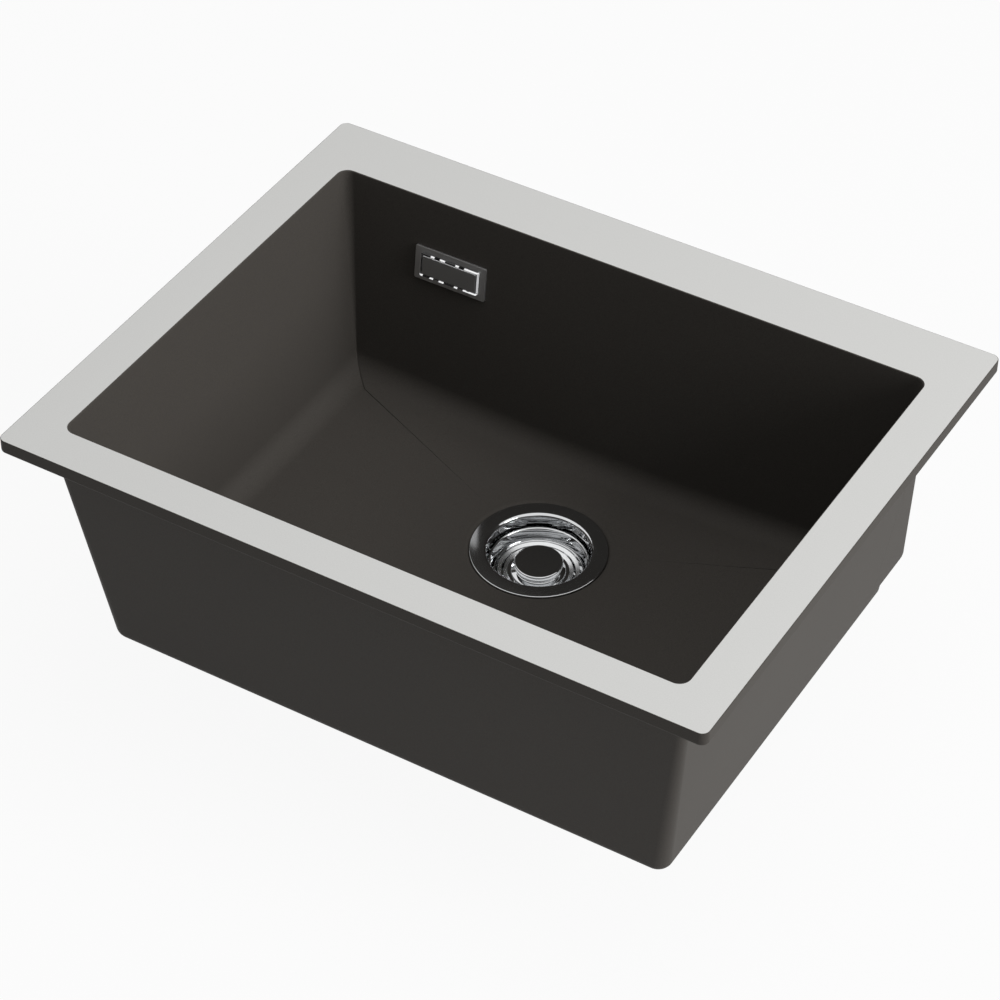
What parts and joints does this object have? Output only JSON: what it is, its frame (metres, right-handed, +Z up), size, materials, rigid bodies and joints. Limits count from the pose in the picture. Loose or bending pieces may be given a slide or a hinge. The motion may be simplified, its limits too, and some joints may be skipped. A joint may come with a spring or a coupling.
{
  "type": "undermount kitchen sink",
  "caption": "Dark composite undermount kitchen sink: one rectangular bowl with a flat flange, a lift-out strainer basket in its waste, and an overflow piped to it.",
  "frame": {"origin": "centre of the flange's outline, on its top face, which is glued under the worktop", "axes": "+X along the long side to the right, +Y to the back where the overflow is, +Z up out of the bowl"},
  "size_m": [0.553, 0.44, 0.2693],
  "materials": {
    "composite": "matte moulded quartz and resin composite with a very fine mineral texture; a plain light face where the flange top is ground for gluing",
    "steel": "satin stainless steel",
    "chrome": "polished",
    "rubber": "matte black",
    "black_plastic": "matte moulded black",
    "grey_plastic": "matte grey pipe",
    "brass": "machined",
    "acetal": "white, slightly glossy"
  },
  "bodies": {
    "root": {"sink_bowl": "composite", "overflow_frame": "steel", "overflow_screw_left": "steel", "overflow_screw_right": "steel", "clamp_screw": "steel", "overflow_grille": "chrome", "strainer_flange": "chrome", "overflow_gasket": "rubber", "elbow_seal": "rubber", "spigot_seal": "rubber", "flange_gasket": "rubber", "clamp_gasket": "rubber", "overflow_elbow": "black_plastic", "elbow_nut": "black_plastic", "spigot_nut": "black_plastic", "waste_body": "black_plastic", "overflow_pipe": "grey_plastic", "insert_nut": "brass"},
    "collet": {"stem_collet": "acetal"},
    "basket": {"strainer_basket": "chrome", "basket_knob": "chrome", "basket_stem": "steel", "basket_seal": "rubber", "seal_washer": "steel"},
    "cover": {"overflow_cover": "steel"}
  },
  "joints": [
    {"name": "basket_lift", "type": "slide", "parent": "root", "child": "collet", "axis": [0, 0, 1], "range_m": [0, 0.26]},
    {"name": "basket_turn", "type": "hinge", "parent": "collet", "child": "basket", "pos_m": [0, 0.0489, -0.1813], "axis": [0, 0, 1], "continuous": true},
    {"name": "cover_pull", "type": "slide", "parent": "root", "child": "cover", "axis": [0, -0.993, 0.118], "range_m": [0, 0.03]}
  ]
}
